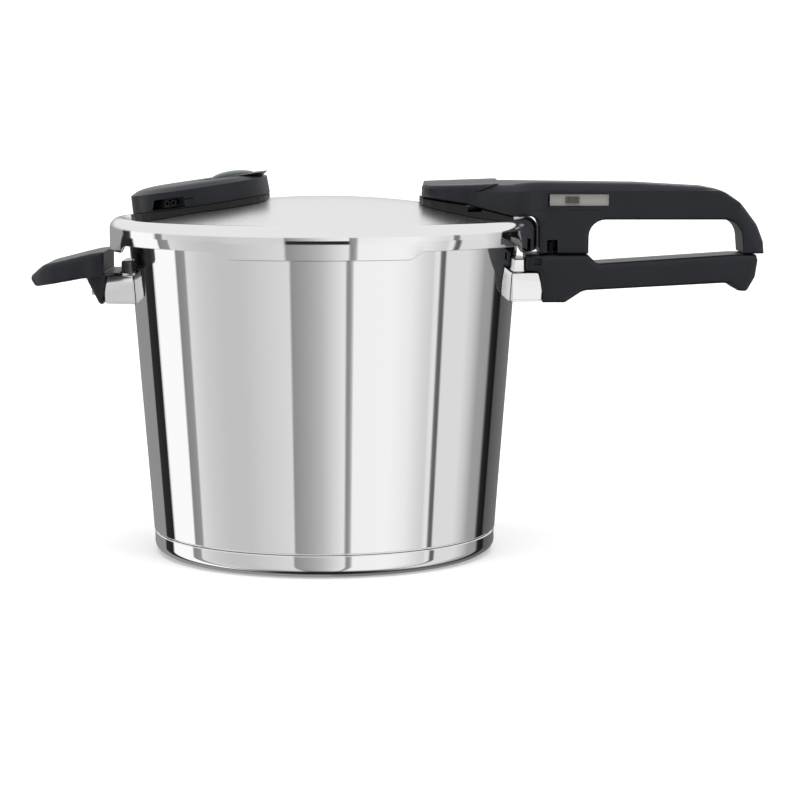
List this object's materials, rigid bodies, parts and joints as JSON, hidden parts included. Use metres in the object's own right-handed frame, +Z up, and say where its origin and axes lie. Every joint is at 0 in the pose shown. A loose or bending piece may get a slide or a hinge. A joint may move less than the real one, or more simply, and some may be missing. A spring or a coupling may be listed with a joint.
{
  "type": "stovetop pressure cooker",
  "caption": "Conical polished steel pressure cooker with a turn-and-lock lid, long handles with a sliding release, a helper handle and a rising pressure indicator.",
  "frame": {"origin": "centre of the base's underside, on the pot's axis", "axes": "+X along the long handles, away from the pot, +Z up through the lid, +Y to the left of the long handles seen from above"},
  "size_m": [0.4158, 0.2432, 0.2182],
  "materials": {
    "polished_steel": "mirror-polished stainless steel",
    "satin_steel": "satin stainless steel",
    "aluminium": "plain disc inside the base",
    "handle_plastic": "satin dark blue-grey thermoset",
    "black_plastic": "fine matte black",
    "slider_plastic": "satin warm light grey",
    "grip_insert": "ribbed dark grey",
    "silicone": "soft grey silicone",
    "indicator_green": "glossy very dark green"
  },
  "bodies": {
    "pot": {"pot_body": "polished_steel", "base_core": "aluminium", "base_capsule": "polished_steel", "pot_handle_bracket": "satin_steel", "helper_bracket": "satin_steel", "pot_flame_guard": "polished_steel", "helper_flame_guard": "polished_steel", "pot_handle": "handle_plastic", "pot_handle_screw": "satin_steel", "lock_catch": "satin_steel", "helper_handle": "handle_plastic", "helper_handle_screw": "satin_steel"},
    "lid_seal": {"sealing_ring": "silicone"},
    "lid": {"lid_shell": "polished_steel", "lid_handle": "handle_plastic", "lid_handle_base": "black_plastic", "lid_handle_screw_front": "satin_steel", "lid_handle_screw_back": "satin_steel", "lid_handle_screw_rear": "satin_steel", "lid_base_screw": "satin_steel", "vent_body": "satin_steel", "vent_gasket": "silicone", "vent_nut": "satin_steel", "valve_body": "satin_steel", "valve_gasket": "silicone", "valve_nut": "satin_steel", "valve_housing": "handle_plastic", "valve_base": "black_plastic", "housing_screw_front": "satin_steel", "housing_screw_back": "satin_steel", "steam_outlet_outer": "black_plastic", "steam_outlet_inner": "black_plastic", "indicator_ring": "satin_steel", "lock_spring": "satin_steel", "valve_spring": "satin_steel"},
    "slider": {"release_slider": "slider_plastic", "slider_grip_front": "grip_insert", "slider_grip_back": "grip_insert"},
    "bolt": {"lock_bolt": "satin_steel"},
    "indicator": {"indicator_stem": "satin_steel", "indicator_cap": "indicator_green"},
    "vent": {"vent_pin": "satin_steel"}
  },
  "joints": [
    {"name": "lid_lift", "type": "slide", "parent": "pot", "child": "lid_seal", "axis": [0, 0, 1], "range_m": [0, 0.1]},
    {"name": "lid_turn", "type": "hinge", "parent": "lid_seal", "child": "lid", "pos_m": [0, 0, 0.19], "axis": [0, 0, 1], "range_deg": [0, 45]},
    {"name": "release_slide", "type": "slide", "parent": "lid", "child": "slider", "axis": [-1, 0, 0], "range_m": [0, 0.006], "stiffness_N_per_m": 300},
    {"name": "bolt_lift", "type": "slide", "parent": "lid", "child": "bolt", "axis": [0, 0, 1], "range_m": [0, 0.002], "deforming": ["lock_spring"]},
    {"name": "indicator_rise", "type": "slide", "parent": "lid", "child": "indicator", "axis": [-0.1122, 0, 0.9937], "range_m": [0, 0.0055], "stiffness_N_per_m": 800, "deforming": ["valve_spring"]},
    {"name": "vent_rise", "type": "slide", "parent": "lid", "child": "vent", "axis": [0.1489, 0, 0.9889], "range_m": [0, 0.003]}
  ],
  "couplings": [
    {"joint": "bolt_lift", "follows": "release_slide", "ratio": 0.333}
  ]
}
